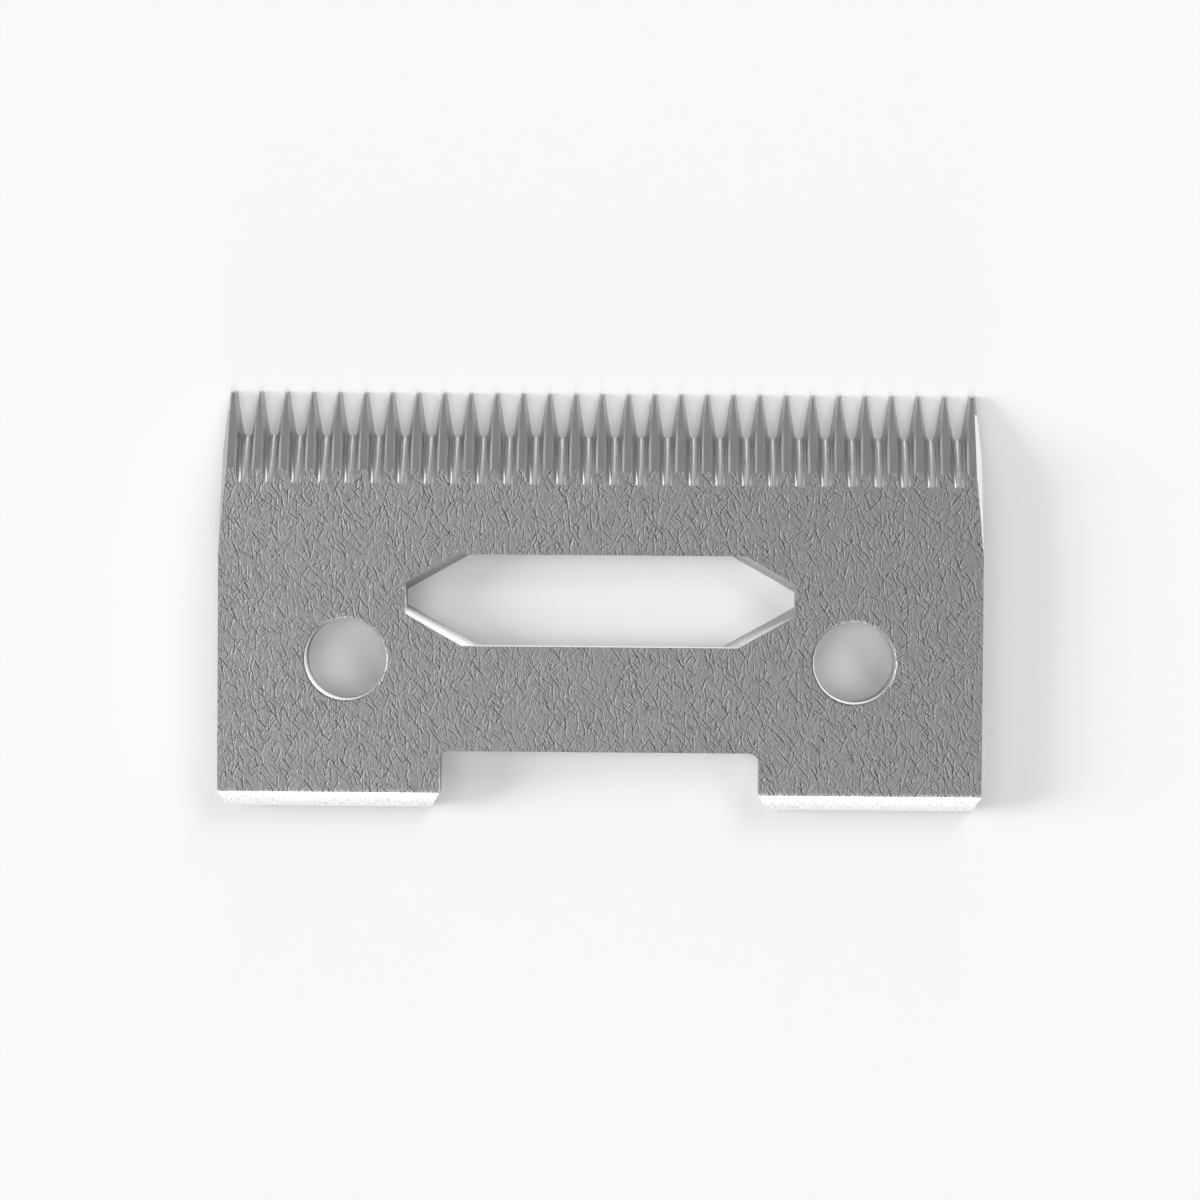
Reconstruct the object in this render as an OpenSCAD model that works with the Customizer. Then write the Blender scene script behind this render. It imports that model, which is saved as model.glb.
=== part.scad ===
// Fixed comb blade of a hair clipper, one ground steel plate.
// It lies on its flat inner face with the skin side up: X runs along the row of teeth,
// +Y points to the tooth tips and +Z is up. The origin is the middle of the inner face.

/* [Plate] */
// Length from the tooth tips to the rear edge of the feet
plate_l = 25; // [23:0.1:30]
// Thickness of the plate
plate_t = 2.3; // [1.8:0.05:2.8]
// Distance from the middle of each end tooth to the side of the plate
side_margin = 0.73; // [0.65:0.01:1.2]
// Width of the slanted rear corners of the feet
foot_corner_w = 0.45; // [0.3:0.05:0.7]
// Length of the slanted rear corners of the feet
foot_corner_l = 0.95; // [0.6:0.05:1.4]
// Radius at both ends of each slanted corner
foot_corner_r = 0.4; // [0.1:0.05:0.6]

/* [Teeth] */
// Number of teeth
tooth_count = 29; // [25:2:35]
// Distance between the middles of two teeth
tooth_pitch = 1.5875; // [1.5:0.0125:1.75]
// Depth of the gaps from the tooth tips, at the inner face
gap_l = 2.68; // [2:0.01:3.2]
// Reach of the flutes from the tooth tips, at the skin side
flute_l = 5.54; // [5:0.01:6]
// Radius of the bottom of each flute
flute_nose_r = 0.275; // [0.2:0.005:0.3]
// Slope of each flute wall away from the middle of the flute, in degrees
flute_wall_angle = 15; // [12:0.5:16]

/* [Flute run-out] */
// Width of the wide round end of each flute
runout_w = 0.95; // [0.8:0.01:1.05]
// Radius of the corners of that end
runout_corner_r = 0.355; // [0.2:0.005:0.38]
// Slope of the floor of that end, in degrees
runout_angle = 30; // [26:1:34]

/* [Front bevel] */
// Length of the ground bevel behind the tips
bevel_l = 4.65; // [4:0.05:5]
// Thickness of the teeth at their tips
tip_t = 0.48; // [0.3:0.01:0.6]
// Radius of the tips, as seen from the side
tip_r = 0.2; // [0.1:0.01:0.25]
// Space between the two relieved edges of neighbouring teeth
land_gap = 1.22; // [1.1:0.01:1.3]
// Slope of the relieved edges below the bevel, in degrees
land_edge_angle = 27; // [15:1:35]

/* [Outer flanks] */
// Distance from the middle of each end tooth to its outer edge at the tip
end_tooth_half_w = 0.28; // [0.2:0.01:0.32]
// Radius of the long curve from the end teeth to the sides
flank_r = 200; // [150:5:260]
// Angle at which that curve leaves the tips, in degrees
flank_plan_angle = 7.2; // [6:0.1:8]
// Lean of the outer flanks, in degrees
flank_lean = 14; // [11:0.5:15]

/* [Screw holes] */
// Distance between the two screw holes
hole_spacing = 30.55; // [28:0.05:33]
// Distance from the tooth tips to the middles of the screw holes
hole_setback = 16.05; // [15:0.05:17]
// Diameter of the screw holes
hole_d = 4.85; // [4:0.05:5.2]
// Size of the broken edge round each screw hole
hole_chamfer = 0.18; // [0.05:0.01:0.3]

/* [Slot] */
// Length of the slot
slot_l = 23.4; // [18:0.1:24]
// Width of the slot
slot_w = 5.52; // [4.8:0.02:5.6]
// Distance from the tooth tips to the middle of the slot
slot_setback = 12.47; // [12:0.01:12.8]
// Height of the straight ends of the slot, at the skin side
slot_end_w = 1.8; // [1.2:0.05:2.4]
// Distance that the straight ends of the slot stand ahead of its middle
slot_end_shift = 0.12; // [0:0.01:0.2]
// Length of the slanted corners of a slot with no shift, at the skin side
slot_corner_l = 3.2; // [2.5:0.05:4]
// Slope of the walls of the slanted corners, in degrees
slot_corner_lean = 10.8; // [0:0.2:14]

/* [Rear notch] */
// Width of the notch between the feet
notch_w = 19.2; // [14:0.1:22]
// Depth of the notch
notch_d = 3.45; // [2.5:0.05:4]
// Radius of the two inner corners of the notch
notch_corner_r = 0.6; // [0.3:0.05:1.5]

/* [Rear bevel] */
// Length of the bevel along the rear of the feet
rear_bevel_l = 0.9; // [0.5:0.05:1.3]
// Drop of that bevel
rear_bevel_drop = 1.1; // [0.6:0.05:1.4]
// Radius between the rear bevel and the skin side
rear_edge_r = 0.5; // [0.1:0.05:0.8]

/* [Inner face] */
// Distance from the tooth tips to the shallow channel in the inner face
channel_setback = 6.6; // [6:0.1:7]
// Width of the shallow channel
channel_w = 2.7; // [2:0.1:3]
// Depth of the shallow channel
channel_d = 0.25; // [0.1:0.01:0.4]

/* [Hidden] */
$fn = 64;
// Number of sides that draws the long curve of the outer flanks
flank_fn = 256;
// Overrun of every cut past the surface that it opens
overrun = 2;
tip_y = plate_l / 2;
rear_y = -plate_l / 2;
end_tooth_x = (tooth_count - 1) / 2 * tooth_pitch;
plate_w = 2 * (end_tooth_x + side_margin);
gap_root_y = tip_y - gap_l;
flute_end_y = tip_y - flute_l;
bevel_y = tip_y - bevel_l;
flute_angle = atan2(plate_t, flute_l - gap_l);
bevel_angle = atan2(plate_t - tip_t, bevel_l);
cut_l = 2 * (plate_l + plate_t);

function unit(v) = v / norm(v);

// The sliver outside an arc of radius r at corner b, between the lines that run to a and c
module corner_sliver(a, b, c, r) {
    to_a = unit(a - b);
    to_c = unit(c - b);
    half_angle = acos(to_a * to_c) / 2;
    tangent_l = r / tan(half_angle);
    centre = b + unit(to_a + to_c) * r / sin(half_angle);
    difference() {
        polygon([b, b + to_a * tangent_l, centre, b + to_c * tangent_l]);
        translate(centre)
            circle(r = r);
    }
}

// Outline of the notch between the feet, open to the rear, with round inner corners
module notch_outline() {
    side_x = notch_w / 2;
    notch_y = rear_y + notch_d;
    difference() {
        translate([-side_x, rear_y - overrun])
            square([notch_w, notch_d + overrun]);
        for (side = [-1, 1])
            corner_sliver([side * side_x, rear_y], [side * side_x, notch_y], [0, notch_y], notch_corner_r);
    }
}

// What a slanted corner takes from the rear of a foot whose edge stands at x,
// where way is 1 if the foot lies towards +X from there and -1 if it lies towards -X
module foot_corner(x, way) {
    low = [x + way * foot_corner_w, rear_y];
    high = [x, rear_y + foot_corner_l];
    polygon([[x, rear_y], low, high]);
    corner_sliver([x, 0], high, low, foot_corner_r);
    corner_sliver(high, low, [x + way * plate_w, rear_y], foot_corner_r);
}

// Outline of the plate seen from above, with the rear notch between the two feet
module plate_outline() {
    difference() {
        square([plate_w, plate_l], center = true);
        notch_outline();
        for (side = [-1, 1]) {
            foot_corner(side * plate_w / 2, -side);
            foot_corner(side * notch_w / 2, side);
        }
    }
}

// Section of the plate from front to rear: ground bevel, round tips and rear bevel
module plate_section() {
    tip_top = [tip_y, tip_t];
    tip_bottom = [tip_y, 0];
    bevel_top = [bevel_y, plate_t];
    rear_top = [rear_y + rear_bevel_l, plate_t];
    rear_low = [rear_y, plate_t - rear_bevel_drop];
    difference() {
        polygon([[rear_y, 0], rear_low, rear_top, bevel_top, tip_top, tip_bottom]);
        corner_sliver(bevel_top, tip_top, tip_bottom, tip_r);
        corner_sliver(rear_low, rear_top, bevel_top, rear_edge_r);
        translate([tip_y - channel_setback - channel_w, -overrun])
            square([channel_w, overrun + channel_d]);
    }
}

// The space inside the long curves that narrow the blade towards its end teeth
module flank_envelope(side) {
    mirror([(1 - side) / 2, 0, 0])
        translate([end_tooth_x + end_tooth_half_w, tip_y, 0])
            rotate([0, -flank_lean, 0])
                rotate([0, 0, flank_plan_angle])
                    translate([-flank_r, 0, -plate_w])
                        cylinder(r = flank_r, h = 2 * plate_w, $fn = flank_fn);
}

// Carries a wheel profile, drawn with its lowest point at the origin, down a ramp
// that climbs to the rear through the point (y, z)
module along_ramp(y, z, angle) {
    translate([0, y, z])
        rotate([90 - angle, 0, 0])
            translate([0, 0, -cut_l / 2])
                linear_extrude(height = cut_l)
                    children();
}

// V profile with a round nose, for the flutes between the teeth
module flute_profile() {
    wall_run = flute_nose_r / cos(flute_wall_angle) - flute_nose_r * tan(flute_wall_angle);
    top = plate_l;
    tangent_x = flute_nose_r * cos(flute_wall_angle);
    tangent_y = flute_nose_r * (1 - sin(flute_wall_angle));
    top_x = wall_run + top * tan(flute_wall_angle);
    translate([0, flute_nose_r])
        circle(r = flute_nose_r);
    polygon([[-tangent_x, tangent_y], [tangent_x, tangent_y], [top_x, top], [-top_x, top]]);
}

// U profile with round corners, for the wide end of each flute
module runout_profile() {
    corner_x = runout_w / 2 - runout_corner_r;
    top = plate_l;
    for (side = [-1, 1])
        translate([side * corner_x, runout_corner_r])
            circle(r = runout_corner_r);
    translate([-corner_x, 0])
        square([2 * corner_x, runout_corner_r]);
    translate([-runout_w / 2, runout_corner_r])
        square([runout_w, top]);
}

// Shallow V that relieves the edges of the two lands beside a flute
module land_edge_profile() {
    rise = overrun * tan(land_edge_angle);
    depth = land_gap / 2 * tan(land_edge_angle);
    reach = land_gap / 2 + overrun;
    translate([0, -depth])
        polygon([[0, 0], [reach, depth + rise], [-reach, depth + rise]]);
}

// One flute between two teeth: the deep V, its wide run-out and the relieved land edges
module flute() {
    along_ramp(gap_root_y, 0, flute_angle)
        flute_profile();
    along_ramp(flute_end_y, plate_t, runout_angle)
        runout_profile();
    along_ramp(bevel_y, plate_t, bevel_angle)
        land_edge_profile();
}

// All the flutes, one between each pair of neighbouring teeth
module flutes() {
    for (i = [0 : tooth_count - 2])
        translate([(i + 1 / 2) * tooth_pitch - end_tooth_x, 0, 0])
            flute();
}

// The two screw holes, with a broken edge at the skin side
module screw_holes() {
    for (side = [-1, 1])
        translate([side * hole_spacing / 2, tip_y - hole_setback, 0]) {
            translate([0, 0, -overrun])
                cylinder(d = hole_d, h = plate_t + 2 * overrun);
            translate([0, 0, plate_t - hole_chamfer])
                cylinder(d1 = hole_d, d2 = hole_d + 2 * (hole_chamfer + overrun), h = hole_chamfer + overrun);
        }
}

// Slot through the middle of the plate, with slanted corners whose walls lean outwards
module slot() {
    corner_h = (slot_w - slot_end_w) / 2;
    corner_angle = atan2(corner_h, slot_corner_l);
    block = slot_l;
    translate([0, tip_y - slot_setback, 0])
        difference() {
            translate([-slot_l / 2, -slot_w / 2, -overrun])
                cube([slot_l, slot_w, plate_t + 2 * overrun]);
            for (side = [-1, 1], edge = [-1, 1])
                translate([side * slot_l / 2, slot_end_shift + edge * slot_end_w / 2, plate_t])
                    mirror([(1 - side) / 2, 0, 0])
                        mirror([0, (1 - edge) / 2, 0])
                            rotate([0, 0, -corner_angle])
                                rotate([-slot_corner_lean, 0, 0])
                                    translate([-block, 0, -block])
                                        cube([2 * block, block, 2 * block]);
        }
}

// The whole blade, one solid
module fixed_blade() {
    color([0.56, 0.55, 0.54])
        difference() {
            intersection() {
                linear_extrude(height = plate_t)
                    plate_outline();
                rotate([90, 0, 90])
                    linear_extrude(height = plate_w, center = true)
                        plate_section();
                flank_envelope(1);
                flank_envelope(-1);
            }
            flutes();
            screw_holes();
            slot();
        }
}

fixed_blade();
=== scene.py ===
"""Looks of the fixed comb blade of a hair clipper: ground steel teeth and a crinkled skin face.

The blade lies on its inner face with +Y towards the tooth tips. It is modelled in millimetres
and brought to metres at the end. A Geometry Nodes tree grinds the flutes between the teeth,
and a second one presses the creases into the skin face.
"""

import math

import bmesh
import bpy
from mathutils import Matrix, Vector, geometry, kdtree


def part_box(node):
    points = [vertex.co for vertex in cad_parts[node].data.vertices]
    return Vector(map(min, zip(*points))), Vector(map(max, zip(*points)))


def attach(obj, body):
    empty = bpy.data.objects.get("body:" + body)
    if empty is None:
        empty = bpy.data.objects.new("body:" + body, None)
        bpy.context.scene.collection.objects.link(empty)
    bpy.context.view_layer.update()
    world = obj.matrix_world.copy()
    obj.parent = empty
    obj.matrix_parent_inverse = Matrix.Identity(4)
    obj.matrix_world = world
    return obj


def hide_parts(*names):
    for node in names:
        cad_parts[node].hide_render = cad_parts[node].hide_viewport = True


MM = 0.001

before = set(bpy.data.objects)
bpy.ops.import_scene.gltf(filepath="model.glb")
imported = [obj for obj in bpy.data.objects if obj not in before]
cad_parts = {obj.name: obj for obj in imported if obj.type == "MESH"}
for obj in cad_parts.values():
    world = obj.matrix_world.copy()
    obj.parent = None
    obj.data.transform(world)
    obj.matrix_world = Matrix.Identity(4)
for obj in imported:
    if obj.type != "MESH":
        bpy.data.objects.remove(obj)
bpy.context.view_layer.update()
LOW, HIGH = (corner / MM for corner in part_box("fixed_blade"))

# Plate
THICKNESS = HIGH.z
TIP_Y = HIGH.y
REAR_Y = LOW.y
SIDE_X = HIGH.x
FOOT_CORNER_WIDTH = 0.45
FOOT_CORNER_LENGTH = 0.95
FOOT_CORNER_ROUND = 0.4
NOTCH_WIDTH = 19.2
NOTCH_DEPTH = 3.45
NOTCH_CORNER = 0.6
OVERRUN = 2

# Section from front to rear
BEVEL_LENGTH = 4.65
TIP_THICKNESS = 0.48
TIP_RADIUS = 0.2
REAR_BEVEL_LENGTH = 0.9
REAR_BEVEL_DROP = 1.1
REAR_EDGE_RADIUS = 0.5
CHANNEL_SETBACK = 6.6
CHANNEL_WIDTH = 2.7
CHANNEL_DEPTH = 0.25

# Teeth and the flutes between them
TOOTH_COUNT = 29
TOOTH_PITCH = 1.5875
GAP_LENGTH = 2.68
FLUTE_LENGTH = 5.54
FLUTE_NOSE = 0.275
FLUTE_WALL_ANGLE = math.radians(15)
FLUTE_DEPTH = 2.12
RUNOUT_WIDTH = 0.95
RUNOUT_CORNER = 0.355
RUNOUT_ANGLE = math.radians(30)
LAND_GAP = 1.22
LAND_EDGE_ANGLE = math.radians(27)
LAND_EDGE_SPARE = 0.1

# Outer flanks of the end teeth
END_TOOTH_X = (TOOTH_COUNT - 1) / 2 * TOOTH_PITCH
END_TOOTH_HALF = 0.28
FLANK_RADIUS = 200
FLANK_START = -1.4
FLANK_SPAN = 1.8
FLANK_STEPS = 48
FLANK_PLAN_ANGLE = math.radians(7.2)
FLANK_LEAN = math.radians(14)

# Screw holes and slot
HOLE_SPACING = 30.55
HOLE_SETBACK = 16.05
HOLE_RADIUS = 2.425
HOLE_RIM = 0.18
HOLE_STEPS = 96
SLOT_LENGTH = 23.4
SLOT_WIDTH = 5.52
SLOT_SETBACK = 12.47
SLOT_END = 1.8
SLOT_END_SHIFT = 0.12
SLOT_CORNER = 3.2
SLOT_LEAN = math.radians(10.8)

# Mesh fineness of arcs and of the skin face
ARC_STEP = math.radians(9)
SMOOTH_ANGLE = math.radians(16)
ROW_SPACING = 0.16
POINT_SPACING = 0.075
EDGE_SPACING = 0.12
EDGE_CLEARANCE = 0.06
JOIN_DISTANCE = 1e-5
LEAST_AREA = 1e-6
LEVEL_RISE = 0.9999
LEVEL_SPARE = 0.001

# Creases of the skin face: sets of angle from the tooth direction, fineness and strength
CREASE_SETS = (
    (-38, 1.9, 0.7), (-20, 1.9, 0.7), (-6, 1.9, 0.7), (6, 1.9, 0.7), (19, 1.9, 0.7), (35, 1.9, 0.7),
    (-48, 1.3, 1), (-31, 1, 1), (-16, 1.3, 1), (-3, 1.1, 1), (11, 1.3, 1), (26, 1, 1), (42, 1.3, 1),
)
CREASE_SHIFT = 0.03
CREASE_LANE = 0.5
LANE_OFFSET = 10
CREASE_LENGTH = 1.2
CREASE_END = 0.25
CREASE_SHARE = 0.63
CREASE_SLOPE = 0.8
CREASE_WOBBLE = 0.16
WOBBLE_SCALE = 1.3
CREASE_CORE = 0.01
CREASE_HALF_WIDTH = 0.054
CREASE_LIP = 0.1
# The lips' heights shape the bump, and they also paint the lips lighter in the skin's colour as painted
# highlight, the right lip more than the left
LEFT_LIP_HEIGHT = 0.2
RIGHT_LIP_HEIGHT = 0.4
# How much the crease cores are painted darker in the skin's colour, as painted shade; the lips are painted
# lighter by the same share, as painted highlight
CREASE_PAINTED_SHADE = 0.5
CREASE_DEPTH = 0.012
CREASE_BUMP = 0.85
CREASE_FADE = 0.3

# Camera, from the photograph's perspective
CAMERA_HEIGHT = 222 * MM
CAMERA_FORWARD = 7.3 * MM
CAMERA_SIDE = 3.75 * MM
CAMERA_LENS = 110
CAMERA_SENSOR = 36
CAMERA_NEAR = 0.01
CAMERA_FAR = 10
CAMERA_ROLL = math.radians(0.43)
CAMERA_AIM = Vector((-0.04 * MM, 0.03 * MM, 0))

# Metals and the floor
SKIN_COLOUR = (0.305, 0.305, 0.306)
GROUND_COLOUR = (0.5, 0.502, 0.506)
LAND_COLOUR = (0.43, 0.432, 0.436)
WALL_COLOUR = (0.33, 0.33, 0.33)
LAPPED_COLOUR = (0.6, 0.603, 0.607)
FLOOR_COLOUR = (0.852, 0.852, 0.837)
FLOOR_HALF = 2
NOISE_LOW = 0.3
NOISE_HIGH = 0.7
GRIND_ANGLE = math.radians(30)
GRIND_STRETCH = 0.15
FLUTE_LINES = 17
FLUTE_TONES = (0.9, 1.1)
FLUTE_ROUGHNESS = (0.27, 0.33)
LAND_LINES = 22
LAND_TONES = (0.95, 1.05)
WALL_MARKS = (14, 14, 2)
WALL_TONES = (0.9, 1.1)
LAPPING_CENTRE = (60, 35, 0)
LAPPING_LINES = 12
LAPPED_TONES = (0.94, 1.06)
LAPPED_ROUGHNESS = (0.17, 0.29)
SKIN_GRAIN = (15, 5, 5)
GRAIN_TONES = (0.88, 1.14)
GRAIN_HEIGHT = 0.2
# Lowest tone of the skin's colour, where the painted shade of crossing creases adds up
DARKEST_TONE = 0.3

# Which metal a face has, by how far it faces up
FLUTES, LANDS, WALLS, INNER, SKIN = range(5)
INNER_RISE = -0.9
WALL_RISE = 0.4
SKIN_RISE = 0.8
REAR_SKIN_RISE = 0.92
SAME_DIRECTION = 0.999

# Soft lamps far away: name, azimuth (0 at +X and 90 at +Y), elevation, width in degrees, strength
LAMPS = (
    ("left_light", 180, 20, 22, 2.37),
    ("rear_light", 270, 40, 26, 0.63),
    ("high_left_light", 180, 62, 30, 0.59),
    ("low_rear_light", 270, 6, 16, 0.58),
    ("high_rear_right_light", 300, 62, 30, 0.46),
    ("low_front_light", 90, 6, 16, 0.29),
    ("left_front_light", 160, 30, 20, 0.28),
    ("low_front_right_light", 60, 20, 22, 0.2),
    ("front_left_light", 120, 20, 22, 0.14),
)

# Lamps that metal doesn't mirror
FILL_LAMPS = (
    ("front_right_fill", 60, 40, 26, 0.75),
    ("right_fill", 0, 40, 26, 0.33),
    ("right_front_fill", 30, 40, 26, 0.24),
    ("top_fill", 90, 80, 30, 0.15),
)
ROOM_GLOW = 0.3

# Lamps that light the blade only: the first one its dull walls, and the others its gloss
WALL_LAMP = ("side_light", 50, 16, 20, 12)
GLOSS_LAMPS = (
    ("side_gleam", 55, 16, 20, 0.15),
    ("rear_gleam", 270, 8, 20, 1.2),
)


def new_object(name, mesh):
    """An object in the scene that shows a mesh, or carries a camera's or a lamp's data."""
    made = bpy.data.objects.new(name, mesh)
    bpy.context.scene.collection.objects.link(made)
    return made


def rounded(corners):
    """A closed outline through corners (x, y, radius), with an arc at each corner that has a radius."""
    outline = []
    for i, (x, y, radius) in enumerate(corners):
        corner = Vector((x, y))
        if not radius:
            outline.append(corner)
            continue
        back = (Vector(corners[i - 1][:2]) - corner).normalized()
        ahead = (Vector(corners[(i + 1) % len(corners)][:2]) - corner).normalized()
        half = back.angle(ahead) / 2
        middle = corner + (back + ahead).normalized() * radius / math.sin(half)
        first = corner + back * radius / math.tan(half) - middle
        last = corner + ahead * radius / math.tan(half) - middle
        steps = math.ceil(first.angle(last) / ARC_STEP)
        outline += [middle + first.slerp(last, step / steps) * radius for step in range(steps + 1)]
    return outline


def solid(name, points, faces=None):
    """A closed mesh object from points and faces, or the convex hull of the points."""
    mesh = bpy.data.meshes.new(name)
    form = bmesh.new()
    verts = [form.verts.new(point) for point in points]
    if faces:
        for face in faces:
            form.faces.new([verts[i] for i in face])
    else:
        bmesh.ops.convex_hull(form, input=form.verts)
    bmesh.ops.recalc_face_normals(form, faces=form.faces)
    form.to_mesh(mesh)
    form.free()
    return new_object(name, mesh)


def prism(name, outline, place, length):
    """The outline swept along its own axis by a length, half to each side, and then put in place."""
    count = len(outline)
    points = [place @ Vector((*point, end * length / 2)) for end in (-1, 1) for point in outline]
    sides = [(i, (i + 1) % count, count + (i + 1) % count, count + i) for i in range(count)]
    return solid(name, points, sides + [tuple(range(count)), tuple(range(count, 2 * count))])


def combine(target, tool, operation):
    """Joins, cuts or intersects target with tool, and removes the tool."""
    change = target.modifiers.new(operation, "BOOLEAN")
    change.operation = operation
    change.solver = "EXACT"
    change.object = tool
    bake(target)
    bpy.data.objects.remove(tool)


def bake(piece):
    """Turns a piece and its modifiers into a plain mesh."""
    graph = bpy.context.evaluated_depsgraph_get()
    mesh = bpy.data.meshes.new_from_object(piece.evaluated_get(graph), depsgraph=graph)
    piece.modifiers.clear()
    piece.data = mesh


def plate_outline():
    """The plate from above, with the notch between the two feet."""
    foot_x = NOTCH_WIDTH / 2
    notch_y = REAR_Y + NOTCH_DEPTH
    corner_y = REAR_Y + FOOT_CORNER_LENGTH
    right = [
        (0, notch_y, 0),
        (foot_x, notch_y, NOTCH_CORNER),
        (foot_x, corner_y, FOOT_CORNER_ROUND),
        (foot_x + FOOT_CORNER_WIDTH, REAR_Y, FOOT_CORNER_ROUND),
        (SIDE_X - FOOT_CORNER_WIDTH, REAR_Y, FOOT_CORNER_ROUND),
        (SIDE_X, corner_y, FOOT_CORNER_ROUND),
        (SIDE_X, TIP_Y + OVERRUN, 0),
    ]
    left = [(-x, y, radius) for x, y, radius in reversed(right[1:])]
    return rounded(right + left)


def plate_section():
    """The plate from the side: ground bevel, round tips, rear bevel and the channel below."""
    channel_y = TIP_Y - CHANNEL_SETBACK
    return rounded([
        (REAR_Y, 0, 0),
        (channel_y - CHANNEL_WIDTH, 0, 0),
        (channel_y - CHANNEL_WIDTH, CHANNEL_DEPTH, 0),
        (channel_y, CHANNEL_DEPTH, 0),
        (channel_y, 0, 0),
        (TIP_Y, 0, 0),
        (TIP_Y, TIP_THICKNESS, TIP_RADIUS),
        (TIP_Y - BEVEL_LENGTH, THICKNESS, 0),
        (REAR_Y + REAR_BEVEL_LENGTH, THICKNESS, REAR_EDGE_RADIUS),
        (REAR_Y, THICKNESS - REAR_BEVEL_DROP, 0),
    ])


def flank_envelope(side):
    """The space inside the long leaning curve that narrows the blade towards an end tooth."""
    reach = SIDE_X / FLANK_RADIUS
    curve = [reach * (FLANK_START + FLANK_SPAN * step / FLANK_STEPS) for step in range(FLANK_STEPS + 1)]
    outline = [Vector((FLANK_RADIUS * math.cos(turn), FLANK_RADIUS * math.sin(turn))) for turn in curve]
    inner_x = FLANK_RADIUS - 3 * SIDE_X
    outline += [Vector((inner_x, outline[-1].y)), Vector((inner_x, outline[0].y))]
    place = (Matrix.Scale(side, 4, (1, 0, 0))
             @ Matrix.Translation((END_TOOTH_X + END_TOOTH_HALF, TIP_Y, 0))
             @ Matrix.Rotation(-FLANK_LEAN, 4, "Y")
             @ Matrix.Rotation(FLANK_PLAN_ANGLE, 4, "Z")
             @ Matrix.Translation((-FLANK_RADIUS, 0, 0)))
    return prism("flank_envelope", outline, place, 2 * SIDE_X)


def slot_tool():
    """The slot, with slanted corners whose walls lean outwards."""
    corner_height = (SLOT_WIDTH - SLOT_END) / 2
    slant = math.atan2(corner_height, SLOT_CORNER)
    points = []
    for z in (-OVERRUN, THICKNESS + OVERRUN):
        inset = (THICKNESS - z) * math.tan(SLOT_LEAN)
        for edge in (-1, 1):
            end_y = SLOT_END_SHIFT + edge * (SLOT_END / 2 - inset / math.cos(slant))
            shift = edge * SLOT_END_SHIFT / math.tan(slant)
            long_x = SLOT_LENGTH / 2 - SLOT_CORNER - inset / math.sin(slant) + shift
            for side in (-1, 1):
                points.append((side * SLOT_LENGTH / 2, TIP_Y - SLOT_SETBACK + end_y, z))
                points.append((side * long_x, TIP_Y - SLOT_SETBACK + edge * SLOT_WIDTH / 2, z))
    return solid("slot_tool", points)


def hole_tool(side):
    """A screw hole with a softly rounded rim, as a turned form."""
    rim = rounded([(HOLE_RADIUS, -OVERRUN, 0), (HOLE_RADIUS, THICKNESS, HOLE_RIM),
                   (HOLE_RADIUS + OVERRUN, THICKNESS, 0), (HOLE_RADIUS + OVERRUN, THICKNESS + OVERRUN, 0)])
    points = []
    for step in range(HOLE_STEPS):
        turn = 2 * math.pi * step / HOLE_STEPS
        points += [(side * HOLE_SPACING / 2 + radius * math.cos(turn),
                    TIP_Y - HOLE_SETBACK + radius * math.sin(turn), z) for radius, z in rim]
    count = len(rim)
    faces = []
    for step in range(HOLE_STEPS):
        here = step * count
        after = (step + 1) % HOLE_STEPS * count
        faces += [(here + i, after + i, after + i + 1, here + i + 1) for i in range(count - 1)]
    faces.append(tuple(step * count for step in range(HOLE_STEPS)))
    faces.append(tuple(step * count + count - 1 for step in range(HOLE_STEPS)))
    return solid("hole_tool", points, faces)


def along_ramp(y, z, angle):
    """Places a wheel profile so that its path climbs to the rear through the point (y, z)."""
    path = Matrix(((1, 0, 0), (0, math.sin(angle), -math.cos(angle)), (0, math.cos(angle), math.sin(angle))))
    return Matrix.Translation((0, y, z)) @ path.to_4x4()


def flute_wheels():
    """The three grinding paths of one flute: the deep V, its wide end and the land edges."""
    length = 6 * THICKNESS + 2 * FLUTE_LENGTH
    nose_top = FLUTE_NOSE - FLUTE_NOSE / math.sin(FLUTE_WALL_ANGLE)
    flute_x = (FLUTE_DEPTH - nose_top) * math.tan(FLUTE_WALL_ANGLE)
    flute = rounded([(flute_x, FLUTE_DEPTH, 0), (-flute_x, FLUTE_DEPTH, 0), (0, nose_top, FLUTE_NOSE)])
    flute_angle = math.atan2(THICKNESS, FLUTE_LENGTH - GAP_LENGTH)
    end_x = RUNOUT_WIDTH / 2
    runout = rounded([(end_x, FLUTE_DEPTH, 0), (-end_x, FLUTE_DEPTH, 0),
                      (-end_x, 0, RUNOUT_CORNER), (end_x, 0, RUNOUT_CORNER)])
    edge_x = LAND_GAP / 2 + LAND_EDGE_SPARE
    edge_slope = math.tan(LAND_EDGE_ANGLE)
    relief = rounded([(edge_x, LAND_EDGE_SPARE * edge_slope, 0), (-edge_x, LAND_EDGE_SPARE * edge_slope, 0),
                      (0, -LAND_GAP / 2 * edge_slope, 0)])
    bevel_angle = math.atan2(THICKNESS - TIP_THICKNESS, BEVEL_LENGTH)
    return (
        prism("flute_wheel", flute, along_ramp(TIP_Y - GAP_LENGTH, 0, flute_angle), length),
        prism("runout_wheel", runout, along_ramp(TIP_Y - FLUTE_LENGTH, THICKNESS, RUNOUT_ANGLE), length),
        prism("relief_wheel", relief, along_ramp(TIP_Y - BEVEL_LENGTH, THICKNESS, bevel_angle), length),
    )


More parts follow.
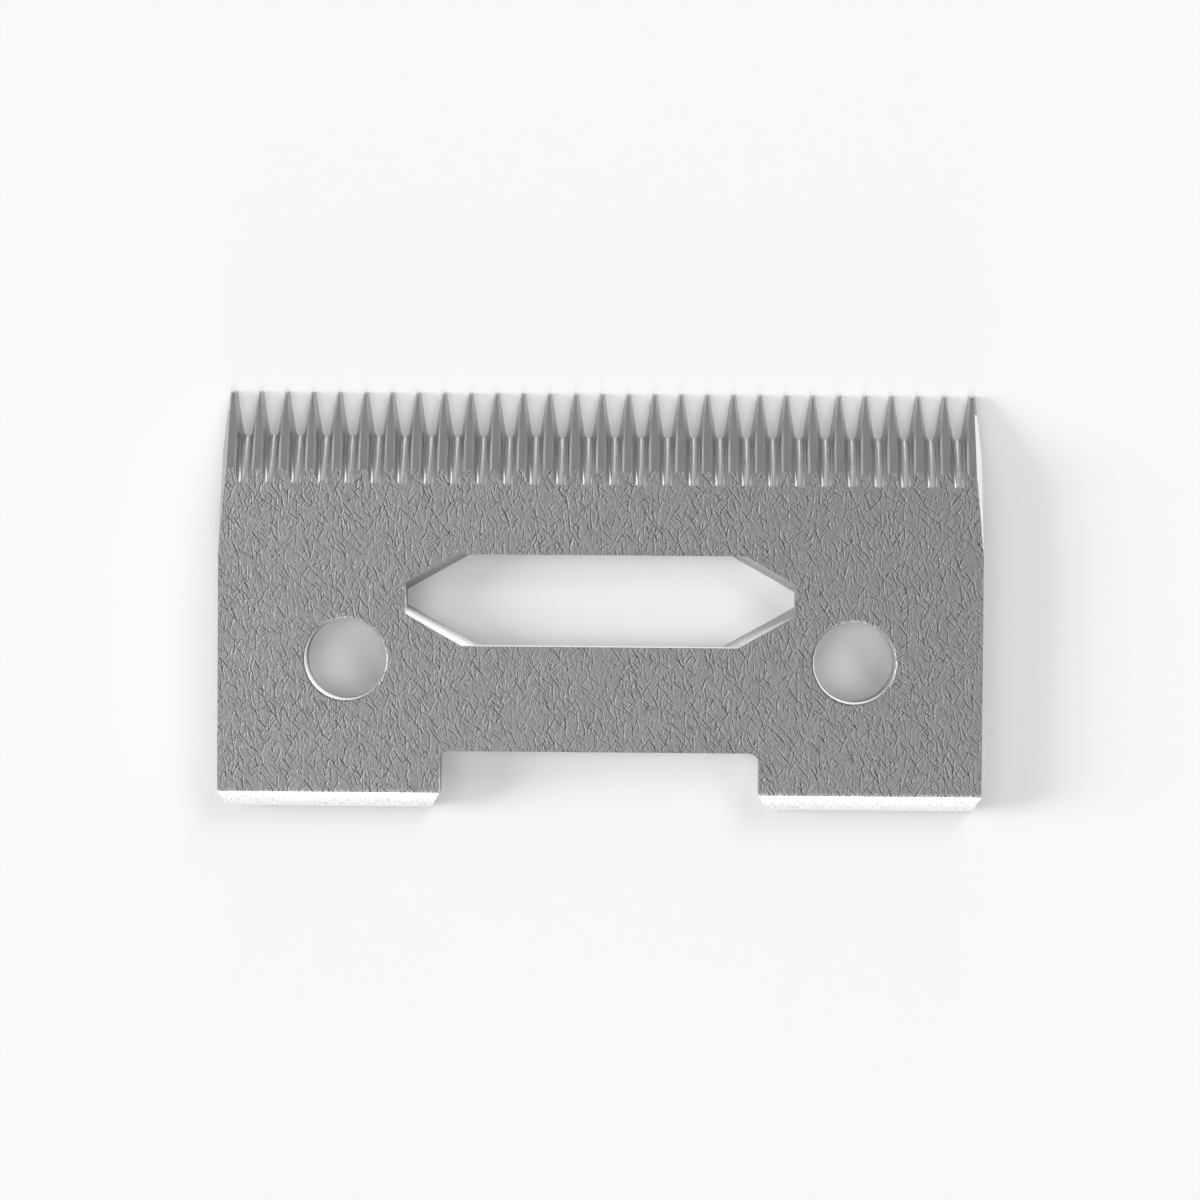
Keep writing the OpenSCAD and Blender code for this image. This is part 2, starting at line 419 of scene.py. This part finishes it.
class Tree:
    """A small helper that builds a node tree, for geometry or for a material."""

    def __init__(self, tree):
        self.tree = tree

    def add(self, kind, *links, inputs=None, **settings):
        """Adds a node, and links sockets or sets numbers in its inputs."""
        node = self.tree.nodes.new(kind)
        for name, value in settings.items():
            setattr(node, name, value)
        for i, value in enumerate(links):
            self.fill(node.inputs[i], value)
        for name, value in (inputs or {}).items():
            self.fill(node.inputs[name], value)
        return node

    def fill(self, socket, value):
        """Links a node or a socket to an input, or sets the input's number."""
        if isinstance(value, bpy.types.Node):
            value = value.outputs[0]
        if isinstance(value, bpy.types.NodeSocket):
            self.tree.links.new(value, socket)
        else:
            socket.default_value = value

    def math(self, operation, *values):
        """The result of a sum on numbers or sockets."""
        return self.add("ShaderNodeMath", *values, operation=operation).outputs[0]

    def ramp(self, value, low, high, first, last):
        """A smooth change from first to last as the value goes from low to high."""
        return self.add("ShaderNodeMapRange", value, low, high, first, last,
                        interpolation_type="SMOOTHSTEP").outputs[0]


def geometry_tree(name, sockets):
    """A Geometry Nodes tree with named inputs, and the sockets that carry them."""
    tree = bpy.data.node_groups.new(name, "GeometryNodeTree")
    tree.interface.new_socket("Geometry", in_out="INPUT", socket_type="NodeSocketGeometry")
    for label, kind in sockets.items():
        tree.interface.new_socket(label, in_out="INPUT", socket_type=kind)
    tree.interface.new_socket("Geometry", in_out="OUTPUT", socket_type="NodeSocketGeometry")
    return Tree(tree), tree.nodes.new("NodeGroupInput").outputs


def run_tree(piece, build, result, values):
    """Finishes a tree, runs it on a piece with the given inputs and bakes the result."""
    build.add("NodeGroupOutput", result)
    change = piece.modifiers.new(build.tree.name, "NODES")
    change.node_group = build.tree
    for item in build.tree.interface.items_tree:
        if item.in_out == "INPUT" and item.name in values:
            change[item.identifier] = values[item.name]
    bake(piece)


def grind_flutes(blade, steel):
    """Repeats the three grinding paths of a flute at each gap and cuts them from the blade."""
    build, given = geometry_tree("grind_flutes", {
        "Gap Count": "NodeSocketInt",
        "Tooth Pitch": "NodeSocketFloat",
        "Flute Wheel": "NodeSocketObject",
        "Runout Wheel": "NodeSocketObject",
        "Relief Wheel": "NodeSocketObject"})
    span = build.math("MULTIPLY", build.math("SUBTRACT", given["Gap Count"], 1), given["Tooth Pitch"])
    start = build.add("ShaderNodeCombineXYZ", build.math("MULTIPLY", span, -0.5))
    offset = build.add("ShaderNodeCombineXYZ", given["Tooth Pitch"])
    gaps = build.add("GeometryNodeMeshLine", inputs={
        "Count": given["Gap Count"], "Start Location": start, "Offset": offset})
    shape = given["Geometry"]
    for label in ("Flute Wheel", "Runout Wheel", "Relief Wheel"):
        wheel = build.add("GeometryNodeObjectInfo", given[label]).outputs["Geometry"]
        copies = build.add("GeometryNodeInstanceOnPoints", inputs={"Points": gaps, "Instance": wheel})
        cutters = build.add("GeometryNodeRealizeInstances", copies)
        shape = build.add("GeometryNodeMeshBoolean", inputs={"Mesh 1": shape, "Mesh 2": cutters},
                          operation="DIFFERENCE", solver="EXACT").outputs["Mesh"]
    whole = build.add("GeometryNodeRealizeInstances", shape)
    finished = build.add("GeometryNodeSetMaterial", inputs={"Geometry": whole, "Material": steel})
    wheels = flute_wheels()
    run_tree(blade, build, finished, {
        "Gap Count": TOOTH_COUNT - 1,
        "Tooth Pitch": TOOTH_PITCH,
        "Flute Wheel": wheels[0],
        "Runout Wheel": wheels[1],
        "Relief Wheel": wheels[2]})
    for wheel in wheels:
        bpy.data.objects.remove(wheel)


def make_body():
    """The plate with its bevels, flanks, slot and holes, before the teeth are ground."""
    section_place = Matrix(((0, 0, 1, 0), (1, 0, 0, 0), (0, 1, 0, 0), (0, 0, 0, 1)))
    body = prism("comb_blade", plate_section(), section_place, 2 * SIDE_X + 2 * OVERRUN)
    combine(body, prism("outline", plate_outline(), Matrix.Translation((0, 0, THICKNESS / 2)),
                        THICKNESS + 2 * OVERRUN), "INTERSECT")
    for side in (-1, 1):
        combine(body, flank_envelope(side), "INTERSECT")
        combine(body, hole_tool(side), "DIFFERENCE")
    combine(body, slot_tool(), "DIFFERENCE")
    return body


def is_skin(face):
    """Whether a face lies level on top of the plate."""
    return face.normal.z > LEVEL_RISE and face.calc_center_median().z > THICKNESS - LEVEL_SPARE


def split_long(edges):
    """Splits edges into short lengths, and gives the edges that result."""
    short = []
    for edge in edges:
        pieces = max(1, round(edge.calc_length() / EDGE_SPACING))
        while pieces > 1:
            made, _ = bmesh.utils.edge_split(edge, edge.verts[0], 1 / pieces)
            short.append(made)
            pieces -= 1
        short.append(edge)
    return short


def row_points(rim, y):
    """Points along one row of the skin face, between the places where the row crosses its rim."""
    crossings = sorted(a.x + (y - a.y) / (b.y - a.y) * (b.x - a.x) for a, b in rim if (a.y > y) != (b.y > y))
    points = []
    for start, end in zip(crossings[::2], crossings[1::2]):
        count = int((end - start) / POINT_SPACING)
        points += [Vector((start + (end - start) * (i + 0.5) / count, y)) for i in range(count)]
    return points


def on_skin(corners, rim):
    """Whether a triangle has an area and its middle lies on the skin face."""
    if geometry.area_tri(*(vert.co for vert in corners)) < LEAST_AREA:
        return False
    middle = sum((vert.co for vert in corners), Vector()) / 3
    hits = sum(a.x + (middle.y - a.y) / (b.y - a.y) * (b.x - a.x) > middle.x
               for a, b in rim if (a.y > middle.y) != (b.y > middle.y))
    return hits % 2 == 1


def refine_skin(blade):
    """Gives the skin face a fine mesh that can hold the creases, within the same rim."""
    form = bmesh.new()
    form.from_mesh(blade.data)
    fade = form.verts.layers.float.new("fade")
    bmesh.ops.remove_doubles(form, verts=form.verts, dist=JOIN_DISTANCE)
    skin = [face for face in form.faces if is_skin(face)]
    rim = [edge for edge in form.edges if sum(is_skin(face) for face in edge.link_faces) == 1]
    bmesh.ops.delete(form, geom=skin, context="FACES_ONLY")
    rim_set = set(rim)
    bmesh.ops.delete(form, geom=[edge for edge in form.edges if edge.is_wire and edge not in rim_set],
                     context="EDGES")
    rim = split_long(rim)
    rim_verts = list({vert for edge in rim for vert in edge.verts})
    number = {vert: i for i, vert in enumerate(rim_verts)}
    flat = [vert.co.xy for vert in rim_verts]
    near = kdtree.KDTree(len(flat))
    for i, point in enumerate(flat):
        near.insert((*point, 0), i)
    near.balance()
    lines = [(a.co.xy, b.co.xy) for a, b in (edge.verts for edge in rim)]
    rows = int((TIP_Y - REAR_Y) / ROW_SPACING)
    points = [point for row in range(rows)
              for point in row_points(lines, REAR_Y + (row + 0.5) * ROW_SPACING)
              if near.find((*point, 0))[2] > EDGE_CLEARANCE]
    joined = [(number[a], number[b]) for a, b in (edge.verts for edge in rim)]
    found = geometry.delaunay_2d_cdt(flat + points, joined, [], 0, JOIN_DISTANCE)
    verts = []
    for point, origins in zip(found[0], found[3]):
        old = [i for i in origins if i < len(rim_verts)]
        verts.append(rim_verts[old[0]] if old else form.verts.new((*point, THICKNESS)))
    for vert in verts:
        vert[fade] = min(1, near.find((*vert.co.xy, 0))[2] / CREASE_FADE)
    rim_set = set(rim_verts)
    for face in found[2]:
        corners = [verts[i] for i in face]
        if all(vert in rim_set for vert in corners) and not on_skin(corners, lines):
            continue
        form.faces.new(corners)
    form.normal_update()
    return form


def crease_set(build, place, angle, seed, lane_width, length, share):
    """One set of creases at an angle: positive in their cores and negative on the lips beside them."""
    turned = build.add("ShaderNodeVectorRotate", rotation_type="Z_AXIS",
                       inputs={"Vector": place, "Angle": math.radians(angle)})
    axes = build.add("ShaderNodeSeparateXYZ", turned).outputs
    across = build.math("DIVIDE", axes["X"], lane_width)
    lane = build.math("FLOOR", across)
    start = build.add("ShaderNodeTexWhiteNoise", build.add("ShaderNodeCombineXYZ", lane, seed))
    steps = build.math("DIVIDE", axes["Y"], length)
    along = build.math("MULTIPLY_ADD", start.outputs["Value"], LANE_OFFSET, steps)
    part = build.math("FLOOR", along)
    chance = build.add("ShaderNodeTexWhiteNoise", build.add("ShaderNodeCombineXYZ", lane, part, seed))
    chance = build.add("ShaderNodeSeparateXYZ", chance.outputs["Color"]).outputs
    middle = build.math("SUBTRACT", build.math("SUBTRACT", along, part), 0.5)
    slope = build.math("MULTIPLY", build.math("SUBTRACT", chance["Z"], 0.5), CREASE_SLOPE)
    centre = build.math("MULTIPLY_ADD", chance["Y"], 0.5, build.math("MULTIPLY_ADD", middle, slope, 0.25))
    away = build.math("SUBTRACT", build.math("SUBTRACT", across, lane), centre)
    away = build.math("MULTIPLY", away, lane_width)
    ends = build.ramp(build.math("ABSOLUTE", middle), CREASE_END, 0.5, 1, 0)
    chosen = build.ramp(chance["X"], build.math("SUBTRACT", 1, share), 1, 0, 1)
    strength = build.math("MULTIPLY", chosen, ends)
    core = build.ramp(build.math("ABSOLUTE", away), CREASE_CORE, CREASE_HALF_WIDTH, 1, 0)
    beside = build.math("ABSOLUTE", build.math("SUBTRACT", build.math("ABSOLUTE", away), CREASE_LIP))
    side = build.ramp(away, -CREASE_LIP, CREASE_LIP, LEFT_LIP_HEIGHT, RIGHT_LIP_HEIGHT)
    lip = build.math("MULTIPLY", build.ramp(beside, 0, CREASE_HALF_WIDTH, 1, 0), side)
    return build.math("MULTIPLY", build.math("SUBTRACT", core, lip), strength)


def crease_field(build, position, lane_width, length, share, wobble):
    """All creases at a position in millimetres: 1 in the deepest cores, and below 0 on their lips.

    Each set is pressed after the one before it, and shifts a little where it meets those creases.
    """
    drift = build.add("ShaderNodeTexNoise", inputs={"Vector": position, "Scale": WOBBLE_SCALE, "Detail": 1})
    centred = build.add("ShaderNodeVectorMath", drift.outputs["Color"], (0.5, 0.5, 0.5), operation="SUBTRACT")
    bend = build.add("ShaderNodeVectorMath", centred, operation="SCALE", inputs={"Scale": wobble})
    place = build.add("ShaderNodeVectorMath", position, bend, operation="ADD")
    total = 0
    for seed, (angle, scale, strength) in enumerate(CREASE_SETS):
        scaled = build.add("ShaderNodeVectorMath", place, operation="SCALE", inputs={"Scale": scale})
        creases = crease_set(build, scaled, angle, seed + 1, lane_width, length, share)
        total = build.math("MULTIPLY_ADD", creases, strength, total)
        shift = build.add("ShaderNodeCombineXYZ", build.math("MULTIPLY", creases, CREASE_SHIFT))
        place = build.add("ShaderNodeVectorMath", place, shift, operation="ADD")
    return total


def press_creases(blade, skin):
    """Presses the creases into the fine mesh of the skin face, fading out towards its rim."""
    build, given = geometry_tree("press_creases", {
        "Depth": "NodeSocketFloat",
        "Lane Width": "NodeSocketFloat",
        "Length": "NodeSocketFloat",
        "Share": "NodeSocketFloat",
        "Wobble": "NodeSocketFloat"})
    place = build.add("GeometryNodeInputPosition")
    field = crease_field(build, place, given["Lane Width"], given["Length"], given["Share"], given["Wobble"])
    cores = build.ramp(field, 0, 1, 0, 1)
    fade = build.add("GeometryNodeInputNamedAttribute", "fade", data_type="FLOAT").outputs["Attribute"]
    downwards = build.math("MULTIPLY", given["Depth"], -1)
    sink = build.math("MULTIPLY", build.math("MULTIPLY", cores, fade), downwards)
    offset = build.add("ShaderNodeCombineXYZ", 0, 0, sink)
    pressed = build.add("GeometryNodeSetPosition", inputs={"Geometry": given["Geometry"], "Offset": offset})
    whole = build.add("GeometryNodeRealizeInstances", pressed)
    on_top = build.add("GeometryNodeInputNamedAttribute", "skin", data_type="BOOLEAN").outputs["Attribute"]
    finished = build.add("GeometryNodeSetMaterial", inputs={
        "Geometry": whole, "Selection": on_top, "Material": skin})
    run_tree(blade, build, finished, {
        "Depth": CREASE_DEPTH,
        "Lane Width": CREASE_LANE,
        "Length": CREASE_LENGTH,
        "Share": CREASE_SHARE,
        "Wobble": CREASE_WOBBLE})


def plain_metal(name, colour, roughness, metallic=1.0):
    """A metal with plain values; gives its node tree, its shader and the place in millimetres too."""
    material = bpy.data.materials.new(name)
    material.use_nodes = True
    shader = material.node_tree.nodes["Principled BSDF"]
    shader.inputs["Base Color"].default_value = (*colour, 1)
    shader.inputs["Metallic"].default_value = metallic
    shader.inputs["Roughness"].default_value = roughness
    build = Tree(material.node_tree)
    metres = build.add("ShaderNodeTexCoord").outputs["Object"]
    place = build.add("ShaderNodeVectorMath", metres, operation="SCALE", inputs={"Scale": 1 / MM})
    return material, build, shader.inputs, place


def shade(build, colour, tone):
    """A colour made darker or lighter by a tone about 1."""
    return build.add("ShaderNodeVectorMath", colour, operation="SCALE", inputs={"Scale": tone})


def grinding_lines(build, place, fineness):
    """Fine lines along the teeth, also on the walls of the flutes."""
    axes = build.add("ShaderNodeSeparateXYZ", place).outputs
    depth = build.math("MULTIPLY_ADD", axes["Y"], math.tan(GRIND_ANGLE), axes["Z"])
    across = build.add("ShaderNodeCombineXYZ", axes["X"], build.math("MULTIPLY", depth, GRIND_STRETCH))
    return build.add("ShaderNodeTexNoise", inputs={"Vector": across, "Scale": fineness, "Detail": 2})


def flute_metal():
    """Ground steel of the flutes and bevels, with fine grinding lines."""
    material, build, inputs, place = plain_metal("ground_steel", GROUND_COLOUR, roughness=0.3)
    lines = grinding_lines(build, place, FLUTE_LINES)
    tone = build.ramp(lines, NOISE_LOW, NOISE_HIGH, *FLUTE_TONES)
    build.fill(inputs["Base Color"], shade(build, GROUND_COLOUR, tone))
    build.fill(inputs["Roughness"], build.ramp(lines, NOISE_LOW, NOISE_HIGH, *FLUTE_ROUGHNESS))
    return material


def land_metal():
    """Finer ground steel of the lands on top of the teeth."""
    material, build, inputs, place = plain_metal("land_steel", LAND_COLOUR, roughness=0.42)
    lines = grinding_lines(build, place, LAND_LINES)
    tone = build.ramp(lines, NOISE_LOW, NOISE_HIGH, *LAND_TONES)
    build.fill(inputs["Base Color"], shade(build, LAND_COLOUR, tone))
    return material


def wall_metal():
    """Dull punched steel of the outer sides, the slot, the notch and the holes."""
    material, build, inputs, place = plain_metal("punched_steel", WALL_COLOUR, roughness=0.6, metallic=0.3)
    stretched = build.add("ShaderNodeVectorMath", place, WALL_MARKS, operation="MULTIPLY")
    marks = build.add("ShaderNodeTexNoise", inputs={"Vector": stretched, "Scale": 1, "Detail": 2})
    tone = build.ramp(marks, NOISE_LOW, NOISE_HIGH, *WALL_TONES)
    build.fill(inputs["Base Color"], shade(build, WALL_COLOUR, tone))
    return material


def lapped_metal():
    """Fine lapped steel of the inner face, with faint arcs left by the lapping plate."""
    material, build, inputs, place = plain_metal("lapped_steel", LAPPED_COLOUR, roughness=0.22)
    radius = build.add("ShaderNodeVectorMath", place, LAPPING_CENTRE, operation="DISTANCE").outputs["Value"]
    across = build.add("ShaderNodeCombineXYZ", build.math("MULTIPLY", radius, LAPPING_LINES), 0, 0)
    arcs = build.add("ShaderNodeTexNoise", inputs={"Vector": across, "Scale": 1, "Detail": 3})
    build.fill(inputs["Roughness"], build.ramp(arcs, NOISE_LOW, NOISE_HIGH, *LAPPED_ROUGHNESS))
    tone = build.ramp(arcs, NOISE_LOW, NOISE_HIGH, *LAPPED_TONES)
    build.fill(inputs["Base Color"], shade(build, LAPPED_COLOUR, tone))
    return material


def skin_metal():
    """Blasted steel with fine creases: their cores painted darker as painted shade and their lips painted
    lighter as painted highlight, over a bump of the same creases.
    """
    material, build, inputs, place = plain_metal("crinkled_skin", SKIN_COLOUR, roughness=0.45)
    field = crease_field(build, place, CREASE_LANE, CREASE_LENGTH, CREASE_SHARE, CREASE_WOBBLE)
    stretched = build.add("ShaderNodeVectorMath", place, SKIN_GRAIN, operation="MULTIPLY")
    grain = build.add("ShaderNodeTexNoise", inputs={"Vector": stretched, "Scale": 1, "Detail": 1})
    grain_tone = build.ramp(grain, NOISE_LOW, NOISE_HIGH, *GRAIN_TONES)
    # Painted shade in the crease cores and painted highlight on their lips, on top of the random grain tone
    tone = build.math("MULTIPLY_ADD", field, -CREASE_PAINTED_SHADE, grain_tone)
    build.fill(inputs["Base Color"], shade(build, SKIN_COLOUR, build.math("MAXIMUM", tone, DARKEST_TONE)))
    height = build.math("MULTIPLY_ADD", grain, GRAIN_HEIGHT, build.math("MULTIPLY", field, -1))
    bump = build.add("ShaderNodeBump", inputs={
        "Height": height, "Distance": CREASE_DEPTH * MM, "Strength": CREASE_BUMP})
    build.fill(inputs["Normal"], bump)
    return material


def surface_of(face):
    """Which of the metals a face has; the bevels have that of the flutes."""
    middle = face.calc_center_median()
    rise = face.normal.z
    if rise < INNER_RISE:
        return INNER
    if is_skin(face):
        return SKIN
    if middle.y > TIP_Y - FLUTE_LENGTH and abs(middle.x) < END_TOOTH_X + END_TOOTH_HALF:
        bevel = Vector((0, THICKNESS - TIP_THICKNESS, BEVEL_LENGTH)).normalized()
        return LANDS if face.normal.dot(bevel) > SAME_DIRECTION else FLUTES
    at_rear = middle.y < REAR_Y + REAR_BEVEL_LENGTH + REAR_EDGE_RADIUS
    if rise > (REAR_SKIN_RISE if at_rear else SKIN_RISE):
        return SKIN
    return FLUTES if at_rear and rise > WALL_RISE else WALLS


def make_blade():
    """The whole blade as one finished piece."""
    metals = (flute_metal(), land_metal(), wall_metal(), lapped_metal())
    blade = make_body()
    grind_flutes(blade, metals[FLUTES])
    form = refine_skin(blade)
    mesh = bpy.data.meshes.new("comb_blade")
    top = form.faces.layers.bool.new("skin")
    for face in form.faces:
        surface = surface_of(face)
        face.smooth = True
        face.material_index = surface % SKIN
        face[top] = surface == SKIN
    for edge in form.edges:
        edge.smooth = len(edge.link_faces) == 2 and edge.calc_face_angle() < SMOOTH_ANGLE
    form.to_mesh(mesh)
    form.free()
    for metal in metals:
        mesh.materials.append(metal)
    blade.data = mesh
    press_creases(blade, skin_metal())
    blade.data.transform(Matrix.Scale(MM, 4))
    return blade


def make_camera():
    """A camera nearly straight above the blade, a little in front of it."""
    data = bpy.data.cameras.new("photo_camera")
    data.lens = CAMERA_LENS
    data.sensor_width = CAMERA_SENSOR
    data.clip_start = CAMERA_NEAR
    data.clip_end = CAMERA_FAR
    camera = new_object("photo_camera", data)
    place = CAMERA_AIM + Vector((CAMERA_SIDE, CAMERA_FORWARD, CAMERA_HEIGHT))
    back = (place - CAMERA_AIM).normalized()
    right = Vector((0, 1, 0)).cross(back).normalized()
    axes = Matrix((right, back.cross(right), back)).transposed().to_4x4()
    camera.matrix_world = Matrix.Translation(place) @ axes @ Matrix.Rotation(CAMERA_ROLL, 4, "Z")
    bpy.context.scene.camera = camera


def make_floor():
    """A plain pale floor, level with the inner face."""
    mesh = bpy.data.meshes.new("floor")
    corners = [(x * FLOOR_HALF, y * FLOOR_HALF, 0) for x, y in ((-1, -1), (1, -1), (1, 1), (-1, 1))]
    mesh.from_pydata(corners, [], [(0, 1, 2, 3)])
    floor = new_object("floor", mesh)
    material = bpy.data.materials.new("pale_floor")
    material.use_nodes = True
    shader = material.node_tree.nodes["Principled BSDF"]
    shader.inputs["Base Color"].default_value = (*FLOOR_COLOUR, 1)
    shader.inputs["Roughness"].default_value = 0.9
    mesh.materials.append(material)


def make_sun(name, azimuth, elevation, width, strength, only=None, bounces=None):
    """A soft lamp far away; azimuth 0 is at +X and 90 at +Y, in degrees."""
    data = bpy.data.lights.new(name, "SUN")
    data.angle = math.radians(width)
    data.energy = strength
    if bounces is not None:
        data.cycles.max_bounces = bounces
    lamp = new_object(name, data)
    turn, rise = math.radians(azimuth), math.radians(elevation)
    towards = Vector((math.cos(turn) * math.cos(rise), math.sin(turn) * math.cos(rise), math.sin(rise)))
    lamp.rotation_euler = towards.to_track_quat("Z", "Y").to_euler()
    if only:
        lit = bpy.data.collections.new(name + "_lights")
        lit.objects.link(only)
        lamp.light_linking.receiver_collection = lit
    return lamp


def make_room():
    """An even pale room that only the gloss of the metals sees."""
    world = bpy.data.worlds.new("studio")
    bpy.context.scene.world = world
    world.use_nodes = True
    build = Tree(world.node_tree)
    glossy = build.add("ShaderNodeLightPath").outputs["Is Glossy Ray"]
    room = world.node_tree.nodes["Background"].inputs
    room["Color"].default_value = (1, 1, 1, 1)
    build.fill(room["Strength"], build.math("MULTIPLY", glossy, ROOM_GLOW))


def make_light(blade):
    """All the lamps and the room."""
    make_room()
    for name, azimuth, elevation, width, strength in LAMPS:
        make_sun(name, azimuth, elevation, width, strength)
    for name, azimuth, elevation, width, strength in FILL_LAMPS:
        make_sun(name, azimuth, elevation, width, strength).visible_glossy = False
    for name, azimuth, elevation, width, strength in GLOSS_LAMPS:
        make_sun(name, azimuth, elevation, width, strength, only=blade, bounces=0)
    make_sun(*WALL_LAMP, only=blade, bounces=0).visible_glossy = False


make_camera()
make_floor()
blade = make_blade()
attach(blade, "root")
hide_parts("fixed_blade")
make_light(blade)
bpy.context.scene.view_settings.view_transform = "Standard"
